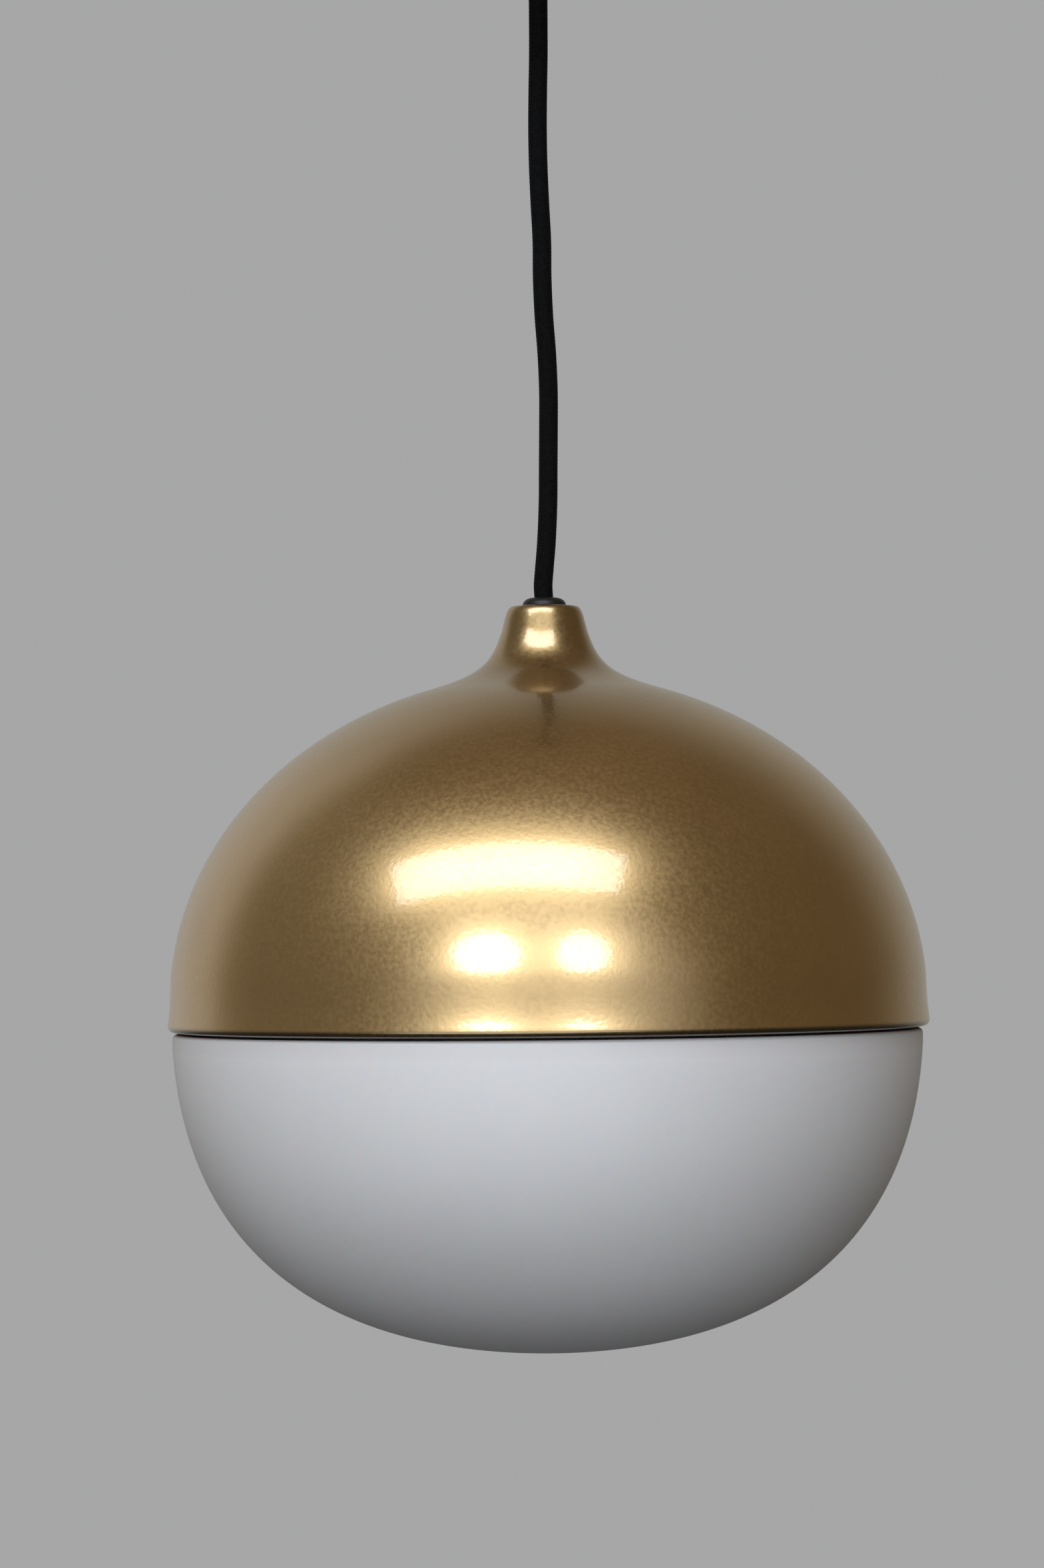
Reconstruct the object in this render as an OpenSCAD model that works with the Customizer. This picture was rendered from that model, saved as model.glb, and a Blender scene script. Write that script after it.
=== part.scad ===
// Pendant ceiling light: a spun metal shade over an opal glass bowl, hung on a
// textile-covered cord from a cup canopy. Millimetres, +Z up, origin at the
// ceiling, in the middle of the ceiling plate's top face.

/* [Canopy] */
// Outside diameter of the canopy cup
canopy_d = 100; // [99:0.5:106]
// Height of the canopy cup
canopy_h = 27.5; // [26:0.5:34]
// Wall of the canopy cup
canopy_wall = 1.2; // [1:0.1:1.5]
// Height of the cord grip under the canopy
grip_h = 12; // [10:0.5:16]

/* [Cord] */
// Diameter over the cord's textile cover
cord_d = 6; // [5:0.5:6]
// Free length of cord from the canopy grip to the neck grip
cord_free = 198; // [150:1:600]

/* [Shade] */
// Outside diameter of the shade
shade_d = 240; // [238:1:244]
// Height of the neck's top face above the rim
neck_h = 133.5; // [133:0.5:136]
// Wall of the shade
shade_wall = 1.6; // [1.2:0.1:1.8]

/* [Glass bowl] */
// Outside diameter of the glass bowl
bowl_d = 236.4; // [234:0.2:237.4]
// Depth of the glass bowl below the shade's rim
bowl_h = 101.3; // [98:0.1:110]
// Wall of the glass
bowl_wall = 3; // [2.5:0.1:3.5]

/* [Bulb] */
// Diameter of the bulb's globe
globe_d = 60; // [55:1:64]

/* [Hidden] */
$fn = 96;

// Ceiling plate: a disc with two ears turned down at +Y and -Y.
plate_r = 46;
plate_t = 1.5;
entry_r = 8;                    // mains cable entry in the middle
fixing_x = 30;                  // ceiling screw slots, each side of the middle
slot_w = 5;
slot_l = 16;
ear_w = 16;
ear_y = canopy_d / 2 - canopy_wall - 1.2;      // outer face of the ears
ear_h = 15;
side_screw_z = -10;
side_screw_r = 2;
side_head_r = 3.7;

// Terminal strip under the plate: three poles along X, with the wires along Y.
pole_gap = 10;
pole_y = 21.5;
sleeve_z = -6;                  // axis of the wires' sleeves
sleeve_r = 2.4;
sleeve_l = 13;
clamp_y = 3;                    // two clamp screws in each pole, each side of its middle
clamp_r = 1.5;
clamp_hole_r = 1.55;
block_l = 30;
block_w = 15;
block_bottom = -8.5;
tower_bottom = -13;             // the towers around the clamp screws
block_screw_at = [5, pole_y, 0];

// Canopy cup, open at the top, with two slots that hang on the side screws.
canopy_gap = 0.5;               // between the ceiling and the cup's edge
canopy_r = canopy_d / 2;
canopy_bottom = -canopy_gap - canopy_h;
canopy_corner = 5;

// Grip under the canopy: a collar with a bell mouth and a threaded shank.
thread_r = 4.9;                 // outside of the 10 mm threads
thread_hole_r = 5.2;            // clearance hole for them
nut_bore_r = 4.95;
nut_r = 8.1;                    // corner radius of a 14 mm hexagon
cord_r = cord_d / 2;
cord_bore_r = 3.2;
mouth_z = canopy_bottom - grip_h;              // lower face of the grip
tail_top = canopy_bottom + 12.5;
shank_top = canopy_bottom + 9;

// Cord: sideways offsets and depth below the canopy grip's mouth.
cord_upper_route = [[0, 0, -2], [0, 0, 4], [0, 0.1, 10]];
cord_lower_route = [
  [0, 0.1, 10.6], [-0.1, 0.2, 24], [-0.4, 0.4, 36], [-0.6, 0.5, 48], [-0.5, 0.3, 60],
  [-0.1, 0, 72], [0.4, -0.3, 84], [0.4, -0.5, 96], [0.8, -0.4, 108], [1.6, -0.1, 120],
  [2, 0.2, 132], [1.9, 0.4, 144], [1.7, 0.3, 156], [1.5, 0, 168], [0.9, -0.2, 180],
  [0.1, -0.2, 189], [-0.3, -0.1, 194], [-0.1, 0, 199], [0, 0, 205]
];
cord_sides = 10;
cord_in_grip = 7;               // how far the cord's free part reaches into the neck
stretch = (cord_free + cord_in_grip) / 205;    // the route is drawn for a depth of 205
core_gap = 0.1;                 // between the cord's cut ends and its conductors

// The lamp is drawn above and below the plane of the shade's rim.
dome_h = 2.8;                   // height of the neck grip's head
rim_z = mouth_z - cord_free - dome_h - neck_h;

// Shade outline: radius and height above the rim.
shade_r = shade_d / 2;
dome_r = shade_r - 0.65;        // the dome, inside the rolled edge
dome_c = 9;                     // height of the dome's widest place
dome_b = neck_h - 21.3;         // top of the dome's ellipse, before the flare
foot_angle = 71.4;              // where the flare leaves the dome
cut_h = neck_h - 21.5;          // lower end of the neck grip and of the cord's cover
neck_foot = [13.7, neck_h - 8];
neck_flat_r = 8.6;              // the neck's level top, inside its rounded lip
plate_under = neck_h - 1.8;     // under the neck's top face
hem_r = 2;                      // rolled edge at the rim
hem_w = 4;                      // its width
hem_h = 5.5;

// Glass bowl outline.
bowl_r = bowl_d / 2;
bowl_top = -0.7;                // the shoulder, close under the rim
shoulder_r = 1.5;
collar_r = 104;                 // collar that goes up inside the shade
collar_top = 17;
bead_r = 106;
bead_h = 4;

// Lampholder and bulb, on the same heights.
cap_top = neck_h - 10.5;
cap_bottom = 96;
cap_r = 20.5;
shell_bottom = 62;
shell_r = 19.8;
shell_bore = 14.3;
ledge = 90;                     // where the holder's body rests in its shell
contact_h = 88;                 // the bulb's centre contact
terminal_at = 10;               // distance of the terminals from the axis
plate_h = 71.5;                 // underside of the carrier's plate
ring_t = 5;
ring_r = 27;
carrier_t = 1.5;
arm_w = 16;
tab_r = 109.6;                  // inner face of the carrier's end tabs
rivet_h = 27;
globe_r = globe_d / 2;
globe_c = contact_h - 105 + globe_r;
joint_h = globe_c + 17;         // where the globe meets the bulb's body
joint_r = sqrt(globe_r * globe_r - 17 * 17);

wire_r = 1.1;
core_at = 1.5;                  // distance of the conductors from the cord's axis

// ---- curves and small helpers ----

function bez(p, t) =
  pow(1 - t, 3) * p[0] + 3 * t * pow(1 - t, 2) * p[1] + 3 * t * t * (1 - t) * p[2] + t * t * t * p[3];
function curve(p, n) = [for (i = [0:n]) bez(p, i / n)];
function arc(c, rx, ry, a0, a1, n) =
  [for (i = [0:n]) let (a = a0 + (a1 - a0) * i / n) [c[0] + rx * cos(a), c[1] + ry * sin(a)]];
function unit(v) = v / norm(v);
function reversed(p) = [for (i = [len(p) - 1:-1:0]) p[i]];
function along(p, i) = unit(p[min(i + 1, len(p) - 1)] - p[max(i - 1, 0)]);
// An outline moved sideways by d, to the left of its direction.
function shifted(p, d) = [for (i = [0:len(p) - 1]) let (t = along(p, i)) p[i] + d * [-t[1], t[0]]];
// A zigzag of n thread ridges from height h0 up to h1.
function ridges(r_core, r_crest, h0, h1, n) =
  [for (i = [0:n - 1]) each [
    [r_core, h0 + (h1 - h0) * i / n],
    [r_crest, h0 + (h1 - h0) * (i + 0.35) / n],
    [r_crest, h0 + (h1 - h0) * (i + 0.65) / n]
  ]];

// A round tube swept along a list of points, one ring of corners at each.
module tube(path, r, sides) {
  rings = len(path);
  corners = [for (i = [0:rings - 1]) let (
    t = along(path, i),
    u = unit(cross(t, [1, 0, 0.01])),
    v = cross(t, u)
  ) for (k = [0:sides - 1]) path[i] + r * (cos(360 * k / sides) * u + sin(360 * k / sides) * v)];
  walls = [for (i = [0:rings - 2]) for (k = [0:sides - 1]) let (
    a = i * sides + k,
    b = i * sides + (k + 1) % sides
  ) each [[a, b, b + sides], [a, b + sides, a + sides]]];
  first = [for (k = [sides - 1:-1:0]) k];
  last = [for (k = [0:sides - 1]) (rings - 1) * sides + k];
  polyhedron(points = corners, faces = concat([first, last], walls));
}

module ring(r_in, r_out, z0, z1) {
  translate([0, 0, z0])
    difference() {
      cylinder(r = r_out, h = z1 - z0);
      translate([0, 0, -1]) cylinder(r = r_in, h = z1 - z0 + 2);
    }
}

module on_lamp() {
  translate([0, 0, rim_z]) children();
}

module hex_nut(z0, z1) {
  translate([0, 0, z0])
    difference() {
      cylinder(r = nut_r, h = z1 - z0, $fn = 6);
      translate([0, 0, -1]) cylinder(r = nut_bore_r, h = z1 - z0 + 2);
    }
}

// ---- at the ceiling ----

// One ear in section: the plate's edge turned down with a round corner.
module ear_section() {
  translate([ear_y - 2, -2])
    intersection() {
      difference() {
        circle(r = 2);
        circle(r = 0.5);
      }
      square(3);
    }
  translate([plate_r - 8, -plate_t]) square([ear_y - 2 - plate_r + 8, plate_t]);
  translate([ear_y - plate_t, -ear_h]) square([plate_t, ear_h - 2]);
}

module slot_cut(x) {
  reach = (slot_l - slot_w) / 2;
  for (s = [-1, 1]) translate([x + s * reach, 0, -5]) cylinder(r = slot_w / 2, h = 10);
  translate([x - reach, -slot_w / 2, -5]) cube([2 * reach, slot_w, 10]);
}

module ceiling_bracket() {
  color("silver")
    difference() {
      union() {
        translate([0, 0, -plate_t]) cylinder(r = plate_r, h = plate_t);
        for (s = [0, 180]) rotate([0, 0, s])
          translate([-ear_w / 2, 0, 0]) rotate([90, 0, 90]) linear_extrude(ear_w) ear_section();
      }
      translate([0, 0, -5]) cylinder(r = entry_r, h = 10);
      for (s = [-1, 1]) slot_cut(s * fixing_x);
      translate(block_screw_at - [0, 0, 5]) cylinder(r = clamp_hole_r, h = 10);
      translate([0, 60, side_screw_z]) rotate([90, 0, 0]) cylinder(r = side_screw_r + 0.05, h = 120);
    }
}

// Each pole of the terminal strip.
module at_poles() {
  for (x = [-pole_gap, 0, pole_gap]) translate([x, pole_y, 0]) children();
}

// The two clamp screws of a pole, with their heads down.
module at_clamps() {
  at_poles() for (y = [-clamp_y, clamp_y]) translate([0, y, 0]) children();
}

module clamp_holes() {
  at_clamps() translate([0, 0, tower_bottom - 1]) cylinder(r = clamp_hole_r, h = 8);
}

module terminal_block() {
  tower_w = 4.6;
  tower_l = 10;
  color("ivory")
    difference() {
      union() {
        translate([-block_l / 2, pole_y - block_w / 2, block_bottom]) cube([block_l, block_w, 7]);
        at_poles() translate([-tower_w / 2, -tower_l / 2, tower_bottom]) cube([tower_w, tower_l, 5]);
      }
      at_poles() translate([0, 10, sleeve_z]) rotate([90, 0, 0]) cylinder(r = sleeve_r, h = 20);
      clamp_holes();
      translate(block_screw_at - [0, 0, 9]) cylinder(r = clamp_hole_r, h = 9);
    }
}

module terminal_sleeves() {
  wire_way_r = 1.7;
  color("goldenrod")
    difference() {
      at_poles() translate([0, sleeve_l / 2, sleeve_z]) rotate([90, 0, 0])
        difference() {
          cylinder(r = sleeve_r, h = sleeve_l);
          translate([0, 0, -1]) cylinder(r = wire_way_r, h = sleeve_l + 2);
        }
      clamp_holes();
    }
}

module terminal_screws() {
  color("silver")
    at_clamps() translate([0, 0, tower_bottom + 0.6])
      difference() {
        cylinder(r = clamp_r, h = 4.5);
        translate([-2, -0.25, -1]) cube([4, 0.5, 1.8]);
      }
}

module block_screw() {
  head_r = 2.2;
  head_h = 1.7;
  color("silver")
    translate(block_screw_at)
      difference() {
        union() {
          translate([0, 0, block_bottom]) cylinder(r = clamp_r, h = -block_bottom - 0.1);
          translate([0, 0, block_bottom - head_h]) cylinder(r = head_r, h = head_h);
        }
        translate([-3, -0.3, block_bottom - head_h - 0.8]) cube([6, 0.6, 1.6]);
      }
}

module canopy_screws() {
  color("dimgray")
    for (s = [0, 180]) rotate([0, 0, s]) translate([0, canopy_r + 2.4, side_screw_z]) rotate([90, 0, 0])
      difference() {
        union() {
          cylinder(r = side_screw_r, h = 9);
          cylinder(r1 = side_head_r - 0.7, r2 = side_head_r, h = 0.7);
          translate([0, 0, 0.7]) cylinder(r = side_head_r, h = 1.5);
        }
        translate([-4, -0.4, -1]) cube([8, 0.8, 2]);
      }
}

// ---- the canopy and what drops with it ----

module canopy_outline(r, top, bottom, corner) {
  polygon(concat(
    [[0, bottom]],
    arc([r - corner, bottom + corner], corner, corner, -90, 0, 12),
    [[r, top], [0, top]]
  ));
}

module canopy() {
  inner_r = canopy_r - canopy_wall;
  slot_r = side_screw_r + 0.3;
  color("#1d1d1e")
    difference() {
      rotate_extrude() canopy_outline(canopy_r, -canopy_gap, canopy_bottom, canopy_corner);
      rotate_extrude()
        canopy_outline(inner_r, 1, canopy_bottom + canopy_wall, canopy_corner - canopy_wall);
      translate([0, 0, canopy_bottom - 1]) cylinder(r = thread_hole_r, h = 4);
      for (s = [0, 180]) rotate([0, 0, s]) {
        translate([0, canopy_r + 2, side_screw_z]) rotate([90, 0, 0]) cylinder(r = slot_r, h = 8);
        translate([-slot_r, canopy_r - 6, side_screw_z]) cube([2 * slot_r, 8, 12]);
      }
    }
}

module canopy_grip() {
  mouth_r = 5.6;
  color("#161616")
    difference() {
      rotate_extrude() polygon(concat(
        [[cord_bore_r, shank_top], [cord_bore_r, mouth_z + 6]],
        arc([mouth_r, mouth_z + 6], mouth_r - cord_bore_r, 6, 180, 262, 10),
        arc([6.7, mouth_z + 1], 1, 1, -90, 0, 6),
        [[8.2, canopy_bottom - 1], [8.2, canopy_bottom], [thread_r, canopy_bottom], [thread_r, shank_top]]
      ));
      translate([0, 0, mouth_z + 8]) rotate([0, 90, 0]) cylinder(r = 1.55, h = 12);
    }
}

module canopy_grip_nut() {
  color("silver") hex_nut(canopy_bottom + canopy_wall, canopy_bottom + canopy_wall + 4);
}

module canopy_grip_screw() {
  color("dimgray")
    translate([3.15, 0, mouth_z + 8]) rotate([0, 90, 0])
      difference() {
        cylinder(r = 1.5, h = 4.2);
        translate([0, 0, 2.7]) cylinder(r = 0.75, h = 2, $fn = 6);
      }
}

module cord_tail() {
  color("#151515") translate([0, 0, mouth_z + 3]) cylinder(r = cord_r, h = tail_top - mouth_z - 3);
}

// A conductor from the cord's tail up and over into its terminal.
module ceiling_wire(angle, pole_x) {
  start = [core_at * cos(angle), core_at * sin(angle), tail_top + core_gap];
  bend = start + [0, 0, 0.5];
  path = concat(
    [start],
    curve([bend, bend + [0, 0, 6], [pole_x, 6, sleeve_z], [pole_x, pole_y - 8, sleeve_z]], 10),
    [[pole_x, pole_y - 5, sleeve_z], [pole_x, pole_y - 2, sleeve_z]]
  );
  tube(path, wire_r, 8);
}

module wire_live() { color("saddlebrown") ceiling_wire(150, -pole_gap); }
module wire_neutral() { color("royalblue") ceiling_wire(30, pole_gap); }
module wire_earth() { color("yellowgreen") ceiling_wire(270, 0); }

// ---- the free cord ----

function hung(route) = [for (p = route) [p[0], p[1], mouth_z - p[2] * (p[2] > 0 ? stretch : 1)]];

module cord_upper() { color("#151515") tube(hung(cord_upper_route), cord_r, cord_sides); }
module cord_lower() { color("#151515") tube(hung(cord_lower_route), cord_r, cord_sides); }

// ---- neck ----

module neck_grip() {
  color("#111111")
    on_lamp() rotate_extrude() polygon(concat(
      [[cord_bore_r, cut_h], [thread_r, cut_h], [thread_r, neck_h]],
      [[7.3, neck_h], [7.3, neck_h + 0.4]],
      arc([3.9, neck_h + 0.4], 3, dome_h - 0.4, 0, 90, 10),
      [[3.7, neck_h + dome_h - 0.3], [cord_bore_r + 0.1, neck_h - 3], [cord_bore_r, neck_h - 5]]
    ));
}

module neck_washer() {
  color("silver") on_lamp() ring(thread_r + 0.15, 8.6, plate_under - 1.2, plate_under);
}

module neck_nut() {
  color("silver") on_lamp() hex_nut(plate_under - 5.2, plate_under - 1.2);
}

// The shade's outer line from the dome's widest place up to the neck's lip.
function shade_line() =
  let (dome = arc([0, dome_c], dome_r, dome_b - dome_c, 0, foot_angle, 32))
  let (foot = dome[32])
  let (flare = [foot, foot + [-17.3, 5], neck_foot + [3.5, -10.5], neck_foot])
  concat(dome, [for (i = [1:18]) bez(flare, i / 18)]);

module shade() {
  outer = shade_line();
  inner = reversed(shifted(outer, shade_wall));
  lip = [neck_foot, [12.8, neck_h - 4.9], [12, neck_h - 0.3], [neck_flat_r, neck_h]];
  color("#b08d4c")
    on_lamp() rotate_extrude() polygon(concat(
      arc([shade_r - hem_r, hem_r], hem_r, hem_r, -90, 5, 10),
      outer,
      [for (i = [1:10]) bez(lip, i / 10)],
      [[thread_hole_r, neck_h], [thread_hole_r, plate_under], [9.6, plate_under]],
      inner,
      [[dome_r - shade_wall, hem_h], [shade_r - hem_w, hem_h], [shade_r - hem_w, 1]],
      arc([shade_r - hem_w + 1, 1], 1, 1, 180, 260, 4)
    ));
}

module cord_end() {
  top = mouth_z - cord_free - cord_in_grip - rim_z;
  color("#151515")
    on_lamp() translate([0, 0, cut_h]) cylinder(r = cord_r, h = top - cut_h);
}

// A conductor from the cord's end down into the holder's terminal.
module lamp_wire(core_angle, angle) {
  start = [core_at * cos(core_angle), core_at * sin(core_angle), cut_h - core_gap];
  bend = start - [0, 0, 0.5];
  there = [terminal_at * cos(angle), terminal_at * sin(angle), 100];
  path = concat(
    [start],
    curve([bend, bend - [0, 0, 4.5], there + [0, 0, 6], there], 8),
    [there - [0, 0, 3], there - [0, 0, 6]]
  );
  on_lamp() tube(path, wire_r, 8);
}

module lamp_wire_live() { color("saddlebrown") lamp_wire(180, 180); }
module lamp_wire_neutral() { color("royalblue") lamp_wire(300, 300); }
module lamp_wire_earth() { color("yellowgreen") lamp_wire(60, 60); }

// ---- lampholder ----

module holder_cap() {
  bell = [[8, cap_top - 7], [8.5, cap_top - 12], [18, cap_top - 11], [cap_r, cap_top - 21]];
  bell_in = [[6.5, cap_top - 11], [7.5, cap_top - 13.5], [17.5, cap_top - 13], [18.7, cap_top - 21]];
  color("#1b1b1b")
    on_lamp() rotate_extrude() polygon(concat(
      [[nut_bore_r, cap_top - 11], [nut_bore_r, cap_top], [7.5, cap_top], [8, cap_top - 0.5]],
      curve(bell, 12),
      [[cap_r, cap_bottom], [18.7, cap_bottom]],
      reversed(curve(bell_in, 10))
    ));
}

// The three terminals sit round the holder's axis, each with a screw beside it.
module at_terminals() {
  for (a = [60, 180, 300]) rotate([0, 0, a]) children();
}

module holder_body() {
  color("whitesmoke")
    on_lamp() difference() {
      translate([0, 0, ledge]) cylinder(r = 18.4, h = 7);
      at_terminals() translate([terminal_at, 0, ledge + 3]) cylinder(r = 1.5, h = 6);
      at_terminals() rotate([0, 0, 28]) translate([terminal_at, 0, ledge + 2]) cylinder(r = 1.55, h = 7);
    }
}

module holder_terminal_screws() {
  color("goldenrod")
    on_lamp() at_terminals() rotate([0, 0, 28]) translate([terminal_at, 0, ledge + 2.5])
      difference() {
        union() {
          cylinder(r = 1.5, h = 5);
          translate([0, 0, 4.5]) cylinder(r = 2.4, h = 1.6);
        }
        translate([-3, -0.3, 5.3]) cube([6, 0.6, 2]);
      }
}

module holder_sleeve() {
  h0 = shell_bottom + 2;
  h1 = ledge - 0.4;
  color("#c8ccd0")
    on_lamp() rotate_extrude() polygon(concat(
      [[14.2, h1], [14.2, h0]],
      [for (p = ridges(13.9, 13.5, h0, h1, 7)) p],
      [[13.9, h1]]
    ));
}

module centre_contact() {
  color("#c9a24a")
    on_lamp() translate([0, 2.5, 0]) rotate([90, 0, 0]) linear_extrude(5)
      polygon([
        [-10, ledge], [-10, ledge - 0.6], [-6, ledge - 0.6], [-1.5, contact_h + 0.35],
        [2, contact_h + 0.35], [3.5, contact_h + 1], [3, contact_h + 1.4], [1.6, contact_h + 0.95],
        [-1.2, contact_h + 0.95], [-5.7, ledge]
      ]);
}

module holder_shell() {
  color("#1b1b1b")
    on_lamp() rotate_extrude() polygon(concat(
      [[shell_bore, shell_bottom], [shell_r - 1, shell_bottom], [shell_r - 0.6, shell_bottom + 0.6]],
      ridges(shell_r - 0.6, shell_r, shell_bottom + 1.5, cap_bottom - 8, 10),
      [[shell_r - 0.6, cap_bottom - 8], [shell_r - 0.6, cap_bottom - 6], [cap_r, cap_bottom - 5]],
      [[cap_r, cap_bottom], [18.6, cap_bottom], [18.6, ledge], [shell_bore, ledge]]
    ));
}

// A ring nut on the holder's outer thread, with finger notches round its edge.
module ring_nut(h) {
  color("#1b1b1b")
    on_lamp() difference() {
      ring(shell_r + 0.1, ring_r, h, h + ring_t);
      for (i = [0:11]) rotate([0, 0, 30 * i + 15])
        translate([ring_r + 0.8, 0, h - 1]) cylinder(r = 2, h = ring_t + 2);
    }
}

module ring_upper() { ring_nut(plate_h + carrier_t); }
module ring_lower() { ring_nut(plate_h - ring_t); }

// ---- carrier and clips that hold the glass ----

module arm_section() {
  lower = [[24, plate_h], [80, plate_h], [tab_r, rivet_h + 8], [tab_r, rivet_h - 7]];
  upper = [
    [tab_r + carrier_t, rivet_h - 7], [tab_r + carrier_t, rivet_h + 8.6], [80.7, plate_h + carrier_t],
    [24, plate_h + carrier_t]
  ];
  polygon(concat(lower, upper));
}

module at_clips() {
  for (a = [90, 210, 330]) rotate([0, 0, a]) children();
}

module radial_hole(r, h) {
  translate([tab_r - 4, 0, h]) rotate([0, 90, 0]) cylinder(r = r, h = 10);
}

module carrier() {
  color("gainsboro")
    on_lamp() difference() {
      union() {
        ring(shell_r + 0.15, 30, plate_h, plate_h + carrier_t);
        at_clips() translate([0, arm_w / 2, 0]) rotate([90, 0, 0]) linear_extrude(arm_w) arm_section();
      }
      at_clips() radial_hole(1.65, rivet_h);
    }
}

// A leaf spring: flat where it is riveted, with a nose that holds the bead.
module clip(angle) {
  t = 0.6;
  back = tab_r - t;
  line = [
    [back, rivet_h + 5], [back, 17], [back - 0.3, 15], [collar_r + 0.9, 10.8], [collar_r + 0.5, 9.8],
    [collar_r + 0.9, 8.8], [back - 1.2, 4]
  ];
  color("lightsteelblue")
    on_lamp() rotate([0, 0, angle]) difference() {
      translate([0, 5, 0]) rotate([90, 0, 0]) linear_extrude(10)
        polygon(concat(line, reversed(shifted(line, t))));
      radial_hole(1.65, rivet_h);
    }
}

module clip_1() { clip(90); }
module clip_2() { clip(210); }
module clip_3() { clip(330); }

module clip_rivets() {
  color("silver")
    on_lamp() at_clips() translate([0, 0, rivet_h]) rotate([0, 90, 0]) {
      translate([0, 0, tab_r - 1.8]) cylinder(r = 1.6, h = carrier_t + 3);
      translate([0, 0, tab_r - 1.8]) cylinder(r1 = 2.2, r2 = 3, h = 1.2);
      translate([0, 0, tab_r + carrier_t]) cylinder(r1 = 3, r2 = 2.2, h = 1.2);
    }
}

// ---- glass bowl ----

module glass_bowl() {
  in = bowl_wall;
  outer = [[bowl_r, -5], [bowl_r - 3.6, -0.63 * bowl_h], [0.652 * bowl_r, -bowl_h], [0, -bowl_h]];
  inner = [
    [bowl_r - in, -6], [bowl_r - in - 3.6, -0.62 * bowl_h], [0.635 * bowl_r, in - bowl_h], [0, in - bowl_h]
  ];
  collar_in = collar_r - in;
  color("#e9ecec")
    on_lamp() rotate_extrude() polygon(concat(
      reversed(curve(outer, 28)),
      arc([bowl_r - shoulder_r, bowl_top - shoulder_r], shoulder_r, shoulder_r, 10, 90, 8),
      arc([collar_r + 1.5, bowl_top + 1.5], 1.5, 1.5, 270, 180, 6),
      arc([bead_r - bead_h / 2, collar_top - bead_h / 2], bead_h / 2, bead_h / 2, -90, 90, 10),
      [[collar_in + 0.8, collar_top], [collar_in, collar_top - 0.8]],
      arc([collar_in + 2, bowl_top - in + 2], 2, 2, 180, 270, 5),
      [[bowl_r - in - 3, bowl_top - in]],
      curve(inner, 26)
    ));
}

// ---- bulb ----

module bulb_globe() {
  t = 1.4;
  start = -asin(-17 / globe_r);
  color("#f4f2ea")
    on_lamp() rotate_extrude() polygon(concat(
      arc([0, globe_c], globe_r, globe_r, -90, start, 28),
      arc([0, globe_c], globe_r - t, globe_r - t, start, -90, 28)
    ));
}

module bulb_body() {
  flare = [[joint_r, joint_h], [joint_r - 5.5, joint_h + 8], [15, 50], [14, shell_bottom - 1]];
  color("white")
    on_lamp() rotate_extrude() polygon(concat(
      [[0, joint_h]],
      curve(flare, 12),
      [[12.4, shell_bottom - 0.5], [12.4, contact_h - 4], [0, contact_h - 4]]
    ));
}

module bulb_cap() {
  h0 = shell_bottom - 0.5;
  h1 = contact_h - 5;
  color("#c8ccd0")
    on_lamp() rotate_extrude() polygon(concat(
      [[12.4, h0]],
      ridges(12.8, 13.2, h0, h1, 6),
      [[12.8, h1], [12.4, h1 + 0.4]]
    ));
}

module bulb_insulator() {
  low = contact_h - 4;
  high = contact_h - 1.4;
  color("#202020")
    on_lamp() rotate_extrude() polygon([[0, low], [12.3, low], [11.8, low + 1], [5, high], [0, high]]);
}

module bulb_contact() {
  low = contact_h - 1.4;
  color("#c8ccd0")
    on_lamp() rotate_extrude()
      polygon([[0, low], [4.6, low], [4.4, low + 0.8], [3, contact_h], [0, contact_h]]);
}

ceiling_bracket();
block_screw();
terminal_block();
terminal_sleeves();
terminal_screws();
canopy_screws();
canopy();
canopy_grip();
canopy_grip_nut();
canopy_grip_screw();
cord_tail();
wire_live();
wire_neutral();
wire_earth();
cord_upper();
cord_lower();
neck_grip();
neck_washer();
neck_nut();
shade();
cord_end();
lamp_wire_live();
lamp_wire_neutral();
lamp_wire_earth();
holder_cap();
holder_body();
holder_terminal_screws();
holder_sleeve();
centre_contact();
holder_shell();
ring_upper();
ring_lower();
carrier();
clip_1();
clip_2();
clip_3();
clip_rivets();
glass_bowl();
bulb_globe();
bulb_body();
bulb_cap();
bulb_insulator();
bulb_contact();
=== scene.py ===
# %% [markdown]
# # A pendant ceiling light: making the visible pieces and their finishes
# The exact solids of this lamp come from a CAD model: a ceiling plate and cup, a short piece of cord, a
# spun shade, an opal glass bowl, and the lampholder and bulb inside. This notebook loads those solids as
# a fixed frame. It then remakes the pieces that the eye meets first, and gives every piece its finish.

# %% Load the fixed frame
import math
import bpy
import numpy as np
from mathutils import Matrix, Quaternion, Vector


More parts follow.
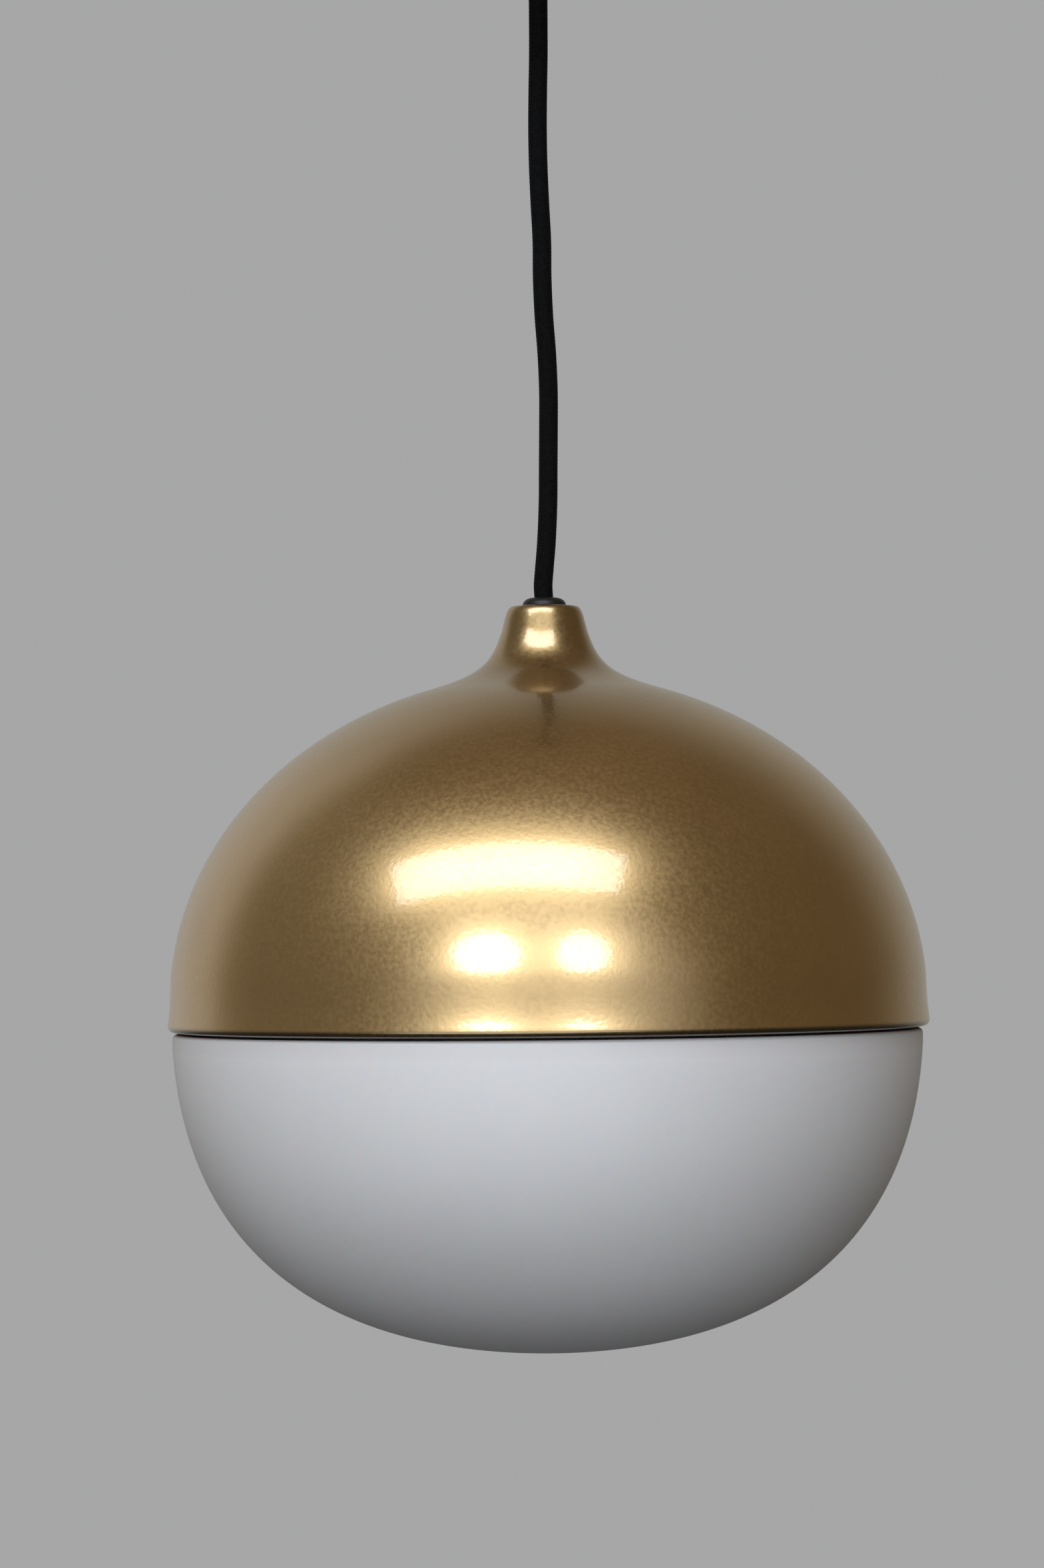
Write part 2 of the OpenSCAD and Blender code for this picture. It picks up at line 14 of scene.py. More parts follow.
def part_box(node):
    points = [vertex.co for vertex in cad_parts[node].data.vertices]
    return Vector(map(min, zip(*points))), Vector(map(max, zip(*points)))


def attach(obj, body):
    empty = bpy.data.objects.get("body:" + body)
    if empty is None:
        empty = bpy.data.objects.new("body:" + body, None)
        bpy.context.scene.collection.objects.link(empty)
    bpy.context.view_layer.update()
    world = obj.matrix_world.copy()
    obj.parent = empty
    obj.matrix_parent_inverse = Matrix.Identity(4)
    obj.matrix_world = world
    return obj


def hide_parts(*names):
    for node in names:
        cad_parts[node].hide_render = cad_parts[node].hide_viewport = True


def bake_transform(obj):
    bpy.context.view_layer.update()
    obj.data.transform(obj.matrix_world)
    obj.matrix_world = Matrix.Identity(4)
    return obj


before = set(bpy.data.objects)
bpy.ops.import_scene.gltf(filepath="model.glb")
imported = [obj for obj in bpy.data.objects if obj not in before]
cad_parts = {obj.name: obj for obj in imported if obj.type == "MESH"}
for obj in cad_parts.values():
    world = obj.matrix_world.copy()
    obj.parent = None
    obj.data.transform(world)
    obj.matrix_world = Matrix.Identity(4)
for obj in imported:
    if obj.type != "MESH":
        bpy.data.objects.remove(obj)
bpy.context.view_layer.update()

# %% [markdown]
# ## Places that the rest is measured from
# Everything is in metres, with the origin at the ceiling and +Z up. Two heights are needed again and
# again: the shade's rim, and the mouth of the grip under the ceiling cup, where the cord comes out.

# %% Heights of the rim and the cord's mouth
MM = 0.001
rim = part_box("shade")[0].z
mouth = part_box("canopy_grip")[0].z
print("rim at", round(rim, 4), "cord leaves the cup at", round(mouth, 4))

# %% [markdown]
# ## A clean start for each step
# An operator works on whatever is selected, and the loaded solids are still selected. So each step
# begins in object mode with nothing selected.

# %% Deselect everything
def start_clean():
    if bpy.context.mode != "OBJECT":
        bpy.ops.object.mode_set(mode="OBJECT")
    bpy.ops.object.select_all(action="DESELECT")


start_clean()

# %% [markdown]
# ## The camera
# The lamp is seen from a little above its rim, at arm's length, with a long lens, so the rim is almost a
# straight line. The camera looks up by two degrees, which keeps more cord than floor in view.
# It is half a degree out of level, as a camera held by hand may be.

# %% Add the camera
start_clean()
bpy.ops.object.camera_add(
    location=(-0.0081, -1.3, rim + 0.0317),
    rotation=(math.radians(92.01), math.radians(0.575), 0),
)
camera = bpy.context.object
camera.name = "camera"
camera.data.lens = 94.24
camera.data.sensor_width = 36
bpy.context.scene.camera = camera
bpy.context.scene.view_settings.view_transform = "Standard"
print("camera", [round(v, 3) for v in camera.location])

# %% [markdown]
# ## The cord
# A round cable of 6 mm in a braided textile sleeve runs from the cup down to the shade's neck. It was
# once rolled up, so it hangs in a slight wave. The route repeats the CAD model's points. A smooth
# curve is laid through them, and a tube follows it. The braid is real relief: two families of yarn cross
# at 45 degrees, and whichever lies on top stands a little higher.

# %% The cord's route
cord_width = 6 * MM
cord_route = [
    (0, 0, -2), (0, 0, 4), (0, 0.1, 10), (-0.1, 0.2, 24), (-0.4, 0.4, 36), (-0.6, 0.5, 48), (-0.5, 0.3, 60),
    (-0.1, 0, 72), (0.4, -0.3, 84), (0.4, -0.5, 96), (0.8, -0.4, 108), (1.6, -0.1, 120), (2, 0.2, 132),
    (1.9, 0.4, 144), (1.7, 0.3, 156), (1.5, 0, 168), (0.9, -0.2, 180), (0.1, -0.2, 189), (-0.3, -0.1, 194),
    (-0.1, 0, 199), (0, 0, 205),
]
route = np.array([(x * MM, y * MM, mouth - depth * MM) for x, y, depth in cord_route])
route_length = float(np.linalg.norm(np.diff(route, axis=0), axis=1).sum())
print("cord drawn", round(route_length, 4), "m")


# %% A smooth line through the route's points
def smooth_line(points, count):
    ends = np.vstack([2 * points[0] - points[1], points, 2 * points[-1] - points[-2]])
    line = []
    for where in np.linspace(0, len(points) - 1, count):
        i = min(int(where), len(points) - 2)
        t = where - i
        a, b, c, d = ends[i:i + 4]
        bend, twist = 2 * a - 5 * b + 4 * c - d, 3 * b - a - 3 * c + d
        line.append(0.5 * (2 * b + (c - a) * t + bend * t**2 + twist * t**3))
    line = np.array(line)
    walked = np.concatenate([[0], np.cumsum(np.linalg.norm(np.diff(line, axis=0), axis=1))])
    even = np.linspace(0, walked[-1], count)
    return np.column_stack([np.interp(even, walked, line[:, k]) for k in range(3)])


# %% The braided tube
def braid_relief(angle, along, yarns, turn):
    """Height of the sleeve between 0 and 1: the yarn on top is crowned across its own width."""
    left = yarns * (angle / (2 * math.pi) + along / turn)
    right = yarns * (angle / (2 * math.pi) - along / turn)
    left_on_top = (np.floor(left) + np.floor(right)) % 2 == 0
    across = np.where(left_on_top, left % 1, right % 1) - 0.5
    lengthways = np.where(left_on_top, right % 1, left % 1) - 0.5
    return np.sqrt(np.clip(1 - (1.8 * across) ** 2, 0, 1)) * (1 - 0.9 * lengthways**2)


rings, sides = 900, 80
centre = smooth_line(route, rings)
angle = np.linspace(0, 2 * math.pi, sides, endpoint=False)
walked = np.linspace(0, route_length, rings)
relief = braid_relief(angle[None, :], walked[:, None], 16, 19 * MM)
radius = cord_width / 2 - 0.14 * MM + 0.16 * MM * relief
skin = np.stack([
    centre[:, None, 0] + radius * np.cos(angle),
    centre[:, None, 1] + radius * np.sin(angle),
    np.repeat(centre[:, None, 2], sides, axis=1),
], axis=2).reshape(-1, 3)
faces = [
    (i * sides + k, (i + 1) * sides + k, (i + 1) * sides + (k + 1) % sides, i * sides + (k + 1) % sides)
    for i in range(rings - 1) for k in range(sides)
]
faces += [tuple(range(sides)), tuple(range(rings * sides - 1, (rings - 1) * sides - 1, -1))]
cord_mesh = bpy.data.meshes.new("cord")
cord_mesh.from_pydata(skin.tolist(), [], faces)
cord_mesh.polygons.foreach_set("use_smooth", [True] * len(faces))
cord = bpy.data.objects.new("cord", cord_mesh)
bpy.context.scene.collection.objects.link(cord)
print("cord faces", len(faces))

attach(cord, "pendant")
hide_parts("cord_upper", "cord_lower")

# %% [markdown]
# ## Turned pieces
# Shade, bowl, grip and bulb are all round. A metal spinner presses such a shape over a former, and in
# Blender the same thing is done with an outline and the Spin tool. One vertex is extruded from point to
# point along half the section, and the chain is spun once around the vertical axis. Where the
# chain meets itself the doubles are merged, and the normals are then turned outwards.

# %% Curves for outlines: an arc and a free curve
def arc(centre_r, centre_h, radius_r, radius_h, start, end, count):
    steps = [math.radians(start + (end - start) * i / count) for i in range(count + 1)]
    return [(centre_r + radius_r * math.cos(a), centre_h + radius_h * math.sin(a)) for a in steps]


def free_curve(p0, p1, p2, p3, count):
    points = []
    for i in range(count + 1):
        t = i / count
        weights = ((1 - t) ** 3, 3 * t * (1 - t) ** 2, 3 * t * t * (1 - t), t**3)
        points.append(tuple(sum(w * p[k] for w, p in zip(weights, (p0, p1, p2, p3))) for k in (0, 1)))
    return points


def shifted(line, distance):
    """The same line moved sideways, to the left of its direction."""
    moved = []
    for i, (r, h) in enumerate(line):
        before, after = line[max(i - 1, 0)], line[min(i + 1, len(line) - 1)]
        way = Vector((after[0] - before[0], after[1] - before[1])).normalized()
        moved.append((r - distance * way.y, h + distance * way.x))
    return moved


# %% Spin an outline into a piece
def turned(name, outline, base=0.0, steps=144, edge=32, aside=0.0):
    """outline is (radius, height) in millimetres, with heights above base, which is in metres. aside is how
    many millimetres the piece sits to the right of the axis."""
    start_clean()
    bpy.ops.mesh.primitive_plane_add(size=0.01)
    piece = bpy.context.object
    piece.name = piece.data.name = name
    bpy.ops.object.mode_set(mode="EDIT")
    bpy.ops.mesh.select_all(action="SELECT")
    bpy.ops.mesh.merge(type="CENTER")
    points = [(r * MM, base + h * MM) for r, h in outline]
    bpy.ops.transform.translate(value=(points[0][0], 0, points[0][1]))
    for (r0, z0), (r1, z1) in zip(points, points[1:]):
        bpy.ops.mesh.extrude_vertices_move(TRANSFORM_OT_translate={"value": (r1 - r0, 0, z1 - z0)})
    bpy.ops.mesh.select_all(action="SELECT")
    bpy.ops.mesh.spin(steps=steps, angle=2 * math.pi, center=(0, 0, 0), axis=(0, 0, 1))
    bpy.ops.mesh.select_all(action="SELECT")
    bpy.ops.mesh.remove_doubles(threshold=1e-6)
    bpy.ops.mesh.normals_make_consistent(inside=False)
    bpy.ops.transform.translate(value=(aside * MM, 0, 0))
    bpy.ops.object.mode_set(mode="OBJECT")
    bpy.ops.object.shade_smooth_by_angle(angle=math.radians(edge))
    print(name, "faces", len(piece.data.polygons), "size mm", [round(v * 1000, 1) for v in piece.dimensions])
    return piece


# %% [markdown]
# ## The shade
# The shade is an aluminium blank spun into a flattened dome. At the top it flares up into a narrow neck
# that takes the cord grip, and at the bottom the edge is rolled inwards into a small round hem. Its
# outline is one ellipse, free curves up into the neck and over its lip, and small arcs for the hem.
# Just above the hem the wall flares out a little once more, by about seven degrees. The sheet is 1.6 mm
# thick.

# %% Outline of the shade, and the spun piece
low_wall = free_curve((119.99, 2.17), (118.92, 9.2), (119.35, 14.5), (118.67, 20), 18)
dome = arc(0, 9, 119.35, 103.2, 6.12, 71.4, 60)
foot = dome[-1]
flare = free_curve(foot, (foot[0] - 17.3, foot[1] + 5), (17.2, 115), (13.7, 125.5), 36)
lip = free_curve((13.7, 125.5), (12.7, 128.9), (12.1, 133.5), (10.3, 133.5), 18)
shade_outside = low_wall + dome[1:] + flare[1:]
sheet = 1.6
shade_outline = (
    arc(118, 2, 2, 2, -90, 0, 14) + shade_outside + lip[1:]
    + [(5.2, 133.5), (5.2, 131.7), (9.6, 131.7)] + shifted(shade_outside, sheet)[::-1]
    + [(117.75, 5.5), (116, 5.5), (116, 1)] + arc(117, 1, 1, 1, 180, 270, 6) + [(118, 0)]
)
shade = turned("shade_spun", shade_outline, rim, steps=192)
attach(shade, "pendant")
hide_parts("shade")

# %% [markdown]
# ## The opal bowl
# The bowl is blown opal glass, 3 mm thick, with a satin skin. It hangs close under the shade, and only a
# thin dark line shows between them. A narrower collar goes up inside the shade, and three spring clips
# hold the bead around its top. One free curve makes the deep round belly. The bowl is set 0.4 mm to the
# left of the axis, which spring clips would allow.

# %% Outline of the bowl, and the turned piece
bowl_outside = free_curve((118.2, -5), (114.6, -63.8), (77, -101.3), (0, -101.3), 56)
bowl_inside = free_curve((115.2, -6), (111.6, -62.8), (75, -98.3), (0, -98.3), 44)
bowl_outline = (
    bowl_outside[::-1] + arc(116.7, -2.2, 1.5, 1.5, 10, 90, 12) + arc(105.5, 0.8, 1.5, 1.5, 270, 180, 6)
    + arc(104, 15, 2, 2, -90, 90, 10) + [(101.8, 17), (101, 16.2)] + arc(103, -1.7, 2, 2, 180, 270, 5)
    + [(112.2, -3.7)] + bowl_inside
)
bowl = turned("bowl_opal", bowl_outline, rim, steps=160, aside=-0.4)
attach(bowl, "glass")
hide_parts("glass_bowl")

# %% [markdown]
# ## The grip in the neck
# A black moulded grip sits in the neck's hole and holds the cord. Only its low dome and a thin flange
# show. The dome is an arc that closes around the cord, with a fine bead at the flange's edge.

# %% Outline of the neck grip, and the turned piece
grip_outline = (
    [(3.2, 112), (4.9, 112), (4.9, 133.5), (7.1, 133.5)] + arc(7.1, 133.7, 0.2, 0.2, -90, 90, 6)
    + arc(3.9, 133.9, 3, 2.4, 0, 90, 14) + arc(3.9, 136, 0.3, 0.3, 90, 180, 4)[1:]
    + [(3.3, 130.5), (3.2, 128.5), (3.2, 112)]
)
neck_grip = turned("neck_grip_dome", grip_outline, rim, steps=96)
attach(neck_grip, "pendant")
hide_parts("neck_grip")

# %% [markdown]
# ## The bulb's globe and body
# Inside the bowl hangs a globe lamp: a thin milky dome on a white body that narrows to the screw cap.
# Both are turned from simple outlines, a circle and one free curve.

# %% Globe and body of the bulb
globe_low = math.degrees(math.asin(17 / 30))
globe_outline = arc(0, 13, 30, 30, -90, globe_low, 40) + arc(0, 13, 28.6, 28.6, globe_low, -90, 40)
globe = turned("bulb_dome", globe_outline, rim, steps=96)
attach(globe, "bulb")
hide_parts("bulb_globe")

seat = 30 * math.cos(math.radians(globe_low))
body_outline = (
    [(0, 30), (seat - 0.4, 30)] + free_curve((seat, 30.4), (seat - 5.5, 38), (15, 50), (14, 61), 24)
    + [(12.4, 61.5), (12.4, 84), (0, 84)]
)
bulb_body = turned("bulb_neck", body_outline, rim, steps=96)
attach(bulb_body, "bulb")
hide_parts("bulb_body")

# %% [markdown]
# ## The three wires at the ceiling
# When the cup is let down, its wires pull straight. Each is a soft thing between two bodies. Here it
# is drawn as its own curve and turned into a mesh.

# %% Draw a wire as a curve and make it a mesh
def wire_between(name, start, pole_x, old):
    start_clean()
    bpy.ops.curve.primitive_bezier_curve_add()
    wire = bpy.context.object
    wire.name = name
    wire.data.splines[0].bezier_points.add(1)
    stops = [
        (start, (0, 0, 5.5)), ((pole_x, 10, -6.4), (0, 3, 0.4)), ((pole_x, 19.5, -6), (0, 2, 0)),
    ]
    for point, (place, lean) in zip(wire.data.splines[0].bezier_points, stops):
        point.co = Vector(place) * MM
        point.handle_left_type = point.handle_right_type = "FREE"
        point.handle_left = (Vector(place) - Vector(lean)) * MM
        point.handle_right = (Vector(place) + Vector(lean)) * MM
    wire.data.resolution_u = 24
    wire.data.bevel_depth = 1.1 * MM
    wire.data.bevel_resolution = 5
    wire.data.use_fill_caps = True
    bpy.ops.object.convert(target="MESH")
    wire = bpy.context.object
    wire.data.name = name
    bpy.ops.object.shade_smooth_by_angle(angle=math.radians(50))
    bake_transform(wire)
    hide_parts(old)
    print(name, "faces", len(wire.data.polygons))
    return wire


def core_at(degrees):
    return (1.5 * math.cos(math.radians(degrees)), 1.5 * math.sin(math.radians(degrees)), -15.5)


live = wire_between("mains_wire_live", core_at(150), -10, "wire_live")
neutral = wire_between("mains_wire_neutral", core_at(30), 10, "wire_neutral")
earth = wire_between("mains_wire_earth", core_at(270), 0, "wire_earth")

# %% [markdown]
# ## How the finishes are made
# No real surface is one flat colour. So one helper lays two close colours over a piece with a soft
# cloudy noise, lets the roughness wander a little with it, and adds a fine relief. The noise reads Object
# coordinates, which stay with the piece when it moves. Values that are the same all over, such as a
# coat or a sheen, are set on the shader's own sockets.

# %% A helper for procedural finishes
def finish(name, colours, rough, clouds=60, grain=1500, relief=0.01, octaves=2, **fixed):
    """relief is in millimetres, clouds and grain are waves per metre, octaves adds finer and finer grain."""
    material = bpy.data.materials.new(name)
    material.use_nodes = True
    nodes, links = material.node_tree.nodes, material.node_tree.links
    shader = nodes["Principled BSDF"]
    place = nodes.new("ShaderNodeTexCoord")
    cloud = nodes.new("ShaderNodeTexNoise")
    cloud.inputs["Scale"].default_value = clouds
    cloud.inputs["Detail"].default_value = 5
    links.new(place.outputs["Object"], cloud.inputs["Vector"])
    tint = nodes.new("ShaderNodeValToRGB")
    tint.color_ramp.elements[0].position = 0.35
    tint.color_ramp.elements[1].position = 0.65
    tint.color_ramp.elements[0].color = (*colours[0], 1)
    tint.color_ramp.elements[1].color = (*colours[1], 1)
    links.new(cloud.outputs["Fac"], tint.inputs["Fac"])
    links.new(tint.outputs["Color"], shader.inputs["Base Color"])
    speck = nodes.new("ShaderNodeTexNoise")
    speck.inputs["Scale"].default_value = grain
    speck.inputs["Detail"].default_value = octaves
    links.new(place.outputs["Object"], speck.inputs["Vector"])
    gloss = nodes.new("ShaderNodeMapRange")
    gloss.inputs["From Min"].default_value = 0.3
    gloss.inputs["From Max"].default_value = 0.7
    gloss.inputs["To Min"].default_value = rough[0]
    gloss.inputs["To Max"].default_value = rough[1]
    links.new(speck.outputs["Fac"], gloss.inputs["Value"])
    links.new(gloss.outputs["Result"], shader.inputs["Roughness"])
    bump = nodes.new("ShaderNodeBump")
    bump.inputs["Distance"].default_value = relief * MM
    links.new(speck.outputs["Fac"], bump.inputs["Height"])
    links.new(bump.outputs["Normal"], shader.inputs["Normal"])
    links.new(bump.outputs["Normal"], shader.inputs["Coat Normal"])
    for socket, value in fixed.items():
        shader.inputs[socket.replace("_", " ")].default_value = value
    return material


def paint_shade(material, start, end, least):
    """Painted shade: multiplies the colour by least at height start and by 1 at height end, in metres, evenly
    between.
    """
    nodes, links = material.node_tree.nodes, material.node_tree.links
    colour = nodes["Principled BSDF"].inputs["Base Color"]
    height = nodes.new("ShaderNodeSeparateXYZ")
    links.new(nodes["Texture Coordinate"].outputs["Object"], height.inputs["Vector"])
    factor = nodes.new("ShaderNodeMapRange")
    factor.inputs["From Min"].default_value = start
    factor.inputs["From Max"].default_value = end
    factor.inputs["To Min"].default_value = least
    links.new(height.outputs["Z"], factor.inputs["Value"])
    mix = nodes.new("ShaderNodeMix")
    mix.data_type = "RGBA"
    mix.blend_type = "MULTIPLY"
    mix.inputs[0].default_value = 1
    links.new(colour.links[0].from_socket, mix.inputs[6])
    links.new(factor.outputs["Result"], mix.inputs[7])
    links.new(mix.outputs[2], colour)


def wear(material, *pieces):
    """Gives a finish to remade pieces and CAD nodes alike."""
    for piece in pieces:
        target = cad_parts[piece] if isinstance(piece, str) else piece
        if not target.data.materials:
            target.data.materials.append(material)
        for i in range(len(target.material_slots)):
            target.material_slots[i].material = material
    print(material.name, "on", len(pieces))


# %% [markdown]
# ## Gold paint on metal
# The shade is sprayed with a gold metallic lacquer and a clear coat. Such a coat never dries quite
# flat: it keeps a fine orange peel, one or two millimetres from crest to crest, that ruffles the edge of
# each reflection. The flakes underneath give a soft broad shine, and the coat a sharper one. Two
# stretches of the colour are darkened as painted shade, for the look: the rolled edge strongly, as the
# seam under the rim lies in shadow, and the neck a little, to dim its reflections.

# %% The gold finish
gold = finish(
    "gold lacquer", [(0.61, 0.42, 0.185), (0.68, 0.47, 0.215)], (0.28, 0.36), clouds=25, grain=760,
    relief=0.024, octaves=1.5, Metallic=1.0, Coat_Weight=1.0, Coat_Roughness=0.09, Coat_IOR=1.6,
)
# Painted shade: the rolled edge at the rim is darkened, for the shadow in the seam under it.
paint_shade(gold, rim + 0.3 * MM, rim + 2.4 * MM, 0.12)
# Painted shade: the neck is darkened a little, to dim its reflections.
paint_shade(gold, rim + 112 * MM, rim + 95 * MM, 0.76)
wear(gold, shade)

# %% [markdown]
# A lamp like this usually hangs on a longer cord, with its cup much higher up. Here the cup is close and
# would show as a dark spot in the dome, so the pieces at the ceiling are kept out of reflections.

# %% Keep the ceiling pieces out of reflections
for name in ("canopy", "canopy_grip", "ceiling_bracket", "canopy_screws", "canopy_grip_screw", "cord_tail"):
    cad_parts[name].visible_glossy = False
print("no reflection of the ceiling pieces")

# %% [markdown]
# ## Satin opal glass
# Opal glass is white all through, and acid takes the gloss off its skin. Light goes a few millimetres
# into it and comes out again, so its shading is soft. A little subsurface scattering gives that. A painted
# shadow of the shade's rim makes the glass a little darker close under the rim.

# %% The opal finish
opal = finish(
    "satin opal glass", [(0.77, 0.745, 0.73), (0.805, 0.78, 0.765)], (0.46, 0.54), clouds=12, grain=2500,
    relief=0.002, Subsurface_Weight=0.35, Subsurface_Scale=0.006, IOR=1.5,
)
# Painted shadow: the glass is darkened just under the shade's rim.
paint_shade(opal, rim - 1 * MM, rim - 7 * MM, 0.84)
wear(opal, bowl)

# %% [markdown]
# ## Cord, plastics and paint
# The sleeve is dull polyester, nearly black, with a faint sheen from its fibres. The grips are moulded
# nylon with a fine texture, and the ceiling cup is powder-coated in satin black.

# %% Dark finishes
textile = finish(
    "black braided textile", [(0.0015, 0.0015, 0.0015), (0.004, 0.004, 0.0042)], (0.8, 0.95), clouds=900,
    grain=6000, relief=0.03, Sheen_Weight=0.03, Sheen_Roughness=0.4, Specular_IOR_Level=0.1,
)
wear(textile, cord, "cord_tail", "cord_end")
nylon = finish(
    "black moulded nylon", [(0.004, 0.004, 0.004), (0.008, 0.008, 0.008)], (0.36, 0.48), relief=0.008,
)
wear(nylon, neck_grip, "canopy_grip")
powder = finish(
    "satin black powder coat", [(0.018, 0.018, 0.019), (0.028, 0.028, 0.029)], (0.42, 0.52), grain=1100,
    relief=0.02,
)
wear(powder, "canopy")
phosphate = finish("blackened steel", [(0.03, 0.03, 0.032), (0.07, 0.068, 0.066)], (0.35, 0.55), Metallic=0.9)
bakelite = finish(
    "black bakelite", [(0.012, 0.011, 0.011), (0.022, 0.020, 0.020)], (0.25, 0.35), relief=0.004,
)

# %% [markdown]
# ## Metals inside
# Zinc-plated steel shows pale cloudy patches, brass is warmer, and nickel on the bulb's cap is bright.

# %% Metal finishes
zinc = finish("zinc plate", [(0.50, 0.51, 0.53), (0.66, 0.67, 0.69)], (0.28, 0.48), clouds=140, Metallic=1.0)
spring = finish("spring steel", [(0.42, 0.43, 0.45), (0.52, 0.53, 0.55)], (0.22, 0.34), Metallic=1.0)
nickel = finish("nickel plate", [(0.62, 0.60, 0.57), (0.70, 0.68, 0.65)], (0.14, 0.26), Metallic=1.0)
brass = finish("brass", [(0.60, 0.43, 0.18), (0.72, 0.53, 0.25)], (0.22, 0.38), Metallic=1.0)

# %% [markdown]
# ## Plastics, ceramic and wire
# The terminal block is ivory polyamide, the holder is black with a white ceramic heart, and the three
# cores keep their usual colours: brown, blue, and green with yellow stripes.

# %% Light finishes
ivory = finish("ivory polyamide", [(0.66, 0.62, 0.52), (0.72, 0.68, 0.58)], (0.38, 0.5))
ceramic = finish("white ceramic", [(0.74, 0.73, 0.70), (0.80, 0.79, 0.76)], (0.2, 0.32), Coat_Weight=0.4)
diffuser = finish(
    "milky bulb dome", [(0.80, 0.79, 0.75), (0.84, 0.83, 0.79)], (0.38, 0.46), Subsurface_Weight=0.4,
    Subsurface_Scale=0.004,
)
housing = finish("white bulb plastic", [(0.76, 0.76, 0.75), (0.81, 0.81, 0.80)], (0.34, 0.42))
brown = finish("brown wire", [(0.13, 0.05, 0.022), (0.17, 0.07, 0.03)], (0.35, 0.45))
blue = finish("blue wire", [(0.03, 0.11, 0.38), (0.045, 0.14, 0.45)], (0.35, 0.45))
green = finish("green wire", [(0.05, 0.24, 0.05), (0.07, 0.30, 0.07)], (0.35, 0.45))

# %% Give each node its finish
wear(diffuser, globe)
wear(housing, bulb_body)
wear(brown, live, "lamp_wire_live")
wear(blue, neutral, "lamp_wire_neutral")
wear(green, earth, "lamp_wire_earth")
wear(zinc, "ceiling_bracket", "canopy_grip_nut", "neck_washer", "neck_nut", "carrier", "block_screw")
wear(spring, "clip_1", "clip_2", "clip_3", "clip_rivets")
wear(brass, "terminal_sleeves", "holder_sleeve", "centre_contact", "holder_terminal_screws")
wear(nickel, "bulb_cap", "bulb_contact", "terminal_screws")
wear(phosphate, "canopy_screws", "canopy_grip_screw")
wear(bakelite, "holder_cap", "holder_shell", "ring_upper", "ring_lower", "bulb_insulator")
wear(ceramic, "holder_body")
wear(ivory, "terminal_block")

# %% [markdown]
# ## Studio light
# A curved, half-shiny shade shows whatever stands around it. So the light is built as a quiet room: one
# broad soft panel high in front, two lower panels side by side like a pair of windows, and a faint one
# near the floor, for the glass. They are area lights that the camera can't see, turned to face the lamp.

# %% Place the soft panels
def soft_panel(name, azimuth, elevation, wide, high, radiance, colour=(1, 1, 1), shape="RECTANGLE", turn=0):
    """Angles in degrees as seen from the lamp, from straight ahead: positive to the right and up. turn lifts
    the panel's right end."""
    distance = 2.6
    dome_centre = Vector((0, 0, rim + 0.05))
    start_clean()
    a, e = math.radians(azimuth), math.radians(elevation)
    way = Vector((math.cos(e) * math.sin(a), -math.cos(e) * math.cos(a), math.sin(e)))
    place = dome_centre + way * distance
    facing = way.to_track_quat("Z", "Y") @ Quaternion((0, 0, 1), math.radians(turn))
    bpy.ops.object.light_add(type="AREA", location=place, rotation=facing.to_euler())
    panel = bpy.context.object
    panel.name = name
    panel.data.shape = shape
    panel.data.size = 2 * distance * math.tan(math.radians(wide / 2))
    panel.data.size_y = 2 * distance * math.tan(math.radians(high / 2))
    filled = 1 if shape == "RECTANGLE" else math.pi / 4
    panel.data.energy = radiance * math.pi * panel.data.size * panel.data.size_y * filled
    panel.data.color = colour
    panel.visible_camera = False
    print(name, "at", [round(v, 2) for v in panel.location])


daylight = (0.93, 1.0, 1.12)
soft_panel("key panel", -17, 52, 60, 18, 4.5, daylight, turn=8)
soft_panel("left window", -18.5, 17.5, 20, 17, 6.8, daylight, "ELLIPSE")
soft_panel("right window", 10, 17.5, 15, 16, 6.4, daylight, "ELLIPSE")
soft_panel("floor glow", -12, -22, 70, 26, 1.05, daylight, "ELLIPSE")

# %% [markdown]
# ## The room
# The world stands for the rest of the room: pale behind the lamp, most so to the left, dim at the sides,
# a little lighter straight ahead, and darkest below. The camera itself sees one plain pale grey. A large
# pale floor lies far below.

# %% World and floor
world = bpy.data.worlds.new("quiet room")
bpy.context.scene.world = world
world.use_nodes = True
room, ties = world.node_tree.nodes, world.node_tree.links
sky = room["Background"]


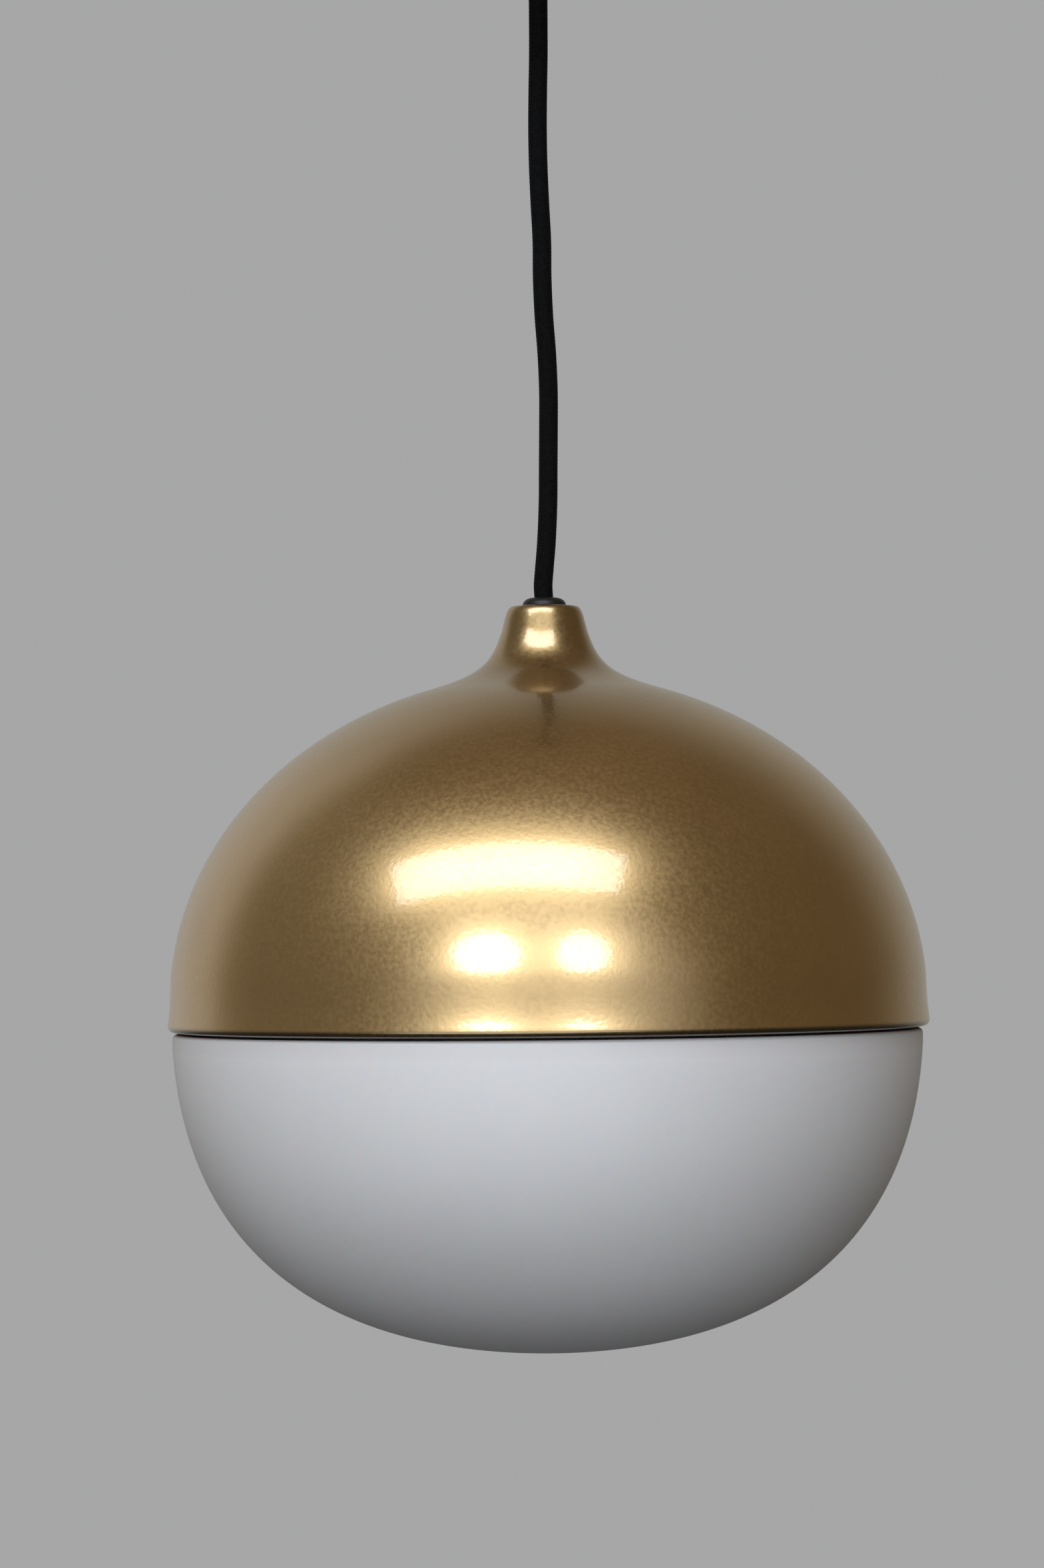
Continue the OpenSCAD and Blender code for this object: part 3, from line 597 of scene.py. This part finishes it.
def blend_of(first, second, low, high, source):
    spread = room.new("ShaderNodeMapRange")
    spread.inputs["From Min"].default_value = low
    spread.inputs["From Max"].default_value = high
    spread.interpolation_type = "SMOOTHSTEP"
    ties.new(source, spread.inputs["Value"])
    mix = room.new("ShaderNodeMix")
    mix.data_type = "RGBA"
    ties.new(spread.outputs["Result"], mix.inputs[0])
    for socket, colour in ((mix.inputs[6], first), (mix.inputs[7], second)):
        if isinstance(colour, tuple):
            socket.default_value = (*colour, 1)
        else:
            ties.new(colour, socket)
    return mix.outputs[2]


way = room.new("ShaderNodeTexCoord")
split = room.new("ShaderNodeSeparateXYZ")
ties.new(way.outputs["Generated"], split.inputs["Vector"])
sides = blend_of((0.17, 0.145, 0.11), (0.13, 0.098, 0.062), -0.7, 0.5, split.outputs["X"])
right_wall = blend_of(sides, (0.32, 0.305, 0.27), 0.35, 0.95, split.outputs["Y"])
left_wall = blend_of(sides, (0.46, 0.44, 0.41), 0.32, 0.6, split.outputs["Y"])
walls = blend_of(left_wall, right_wall, -0.75, 0.1, split.outputs["X"])
front = blend_of(walls, (0.60, 0.60, 0.62), -0.6, -0.97, split.outputs["Y"])
high_up = blend_of(front, (0.15, 0.105, 0.065), 0.7, 1.0, split.outputs["Z"])
below = blend_of((0.035, 0.034, 0.032), high_up, -0.45, -0.02, split.outputs["Z"])
seen = room.new("ShaderNodeLightPath")
backdrop = blend_of(below, (0.385, 0.385, 0.39), 0.0, 1.0, seen.outputs["Is Camera Ray"])
ties.new(backdrop, sky.inputs["Color"])

floor_depth = 1.9
start_clean()
bpy.ops.mesh.primitive_circle_add(vertices=96, radius=8, fill_type="NGON", location=(0, 0, -floor_depth))
floor = bpy.context.object
floor.name = "floor"
plaster = finish(
    "pale floor", [(0.46, 0.46, 0.46), (0.50, 0.50, 0.495)], (0.7, 0.8), clouds=1.5, grain=60, relief=0.5,
    Emission_Color=(0.98, 0.99, 1.0, 1), Emission_Strength=0.30,
)
wear(plaster, floor)
floor.visible_diffuse = False
floor.visible_glossy = False
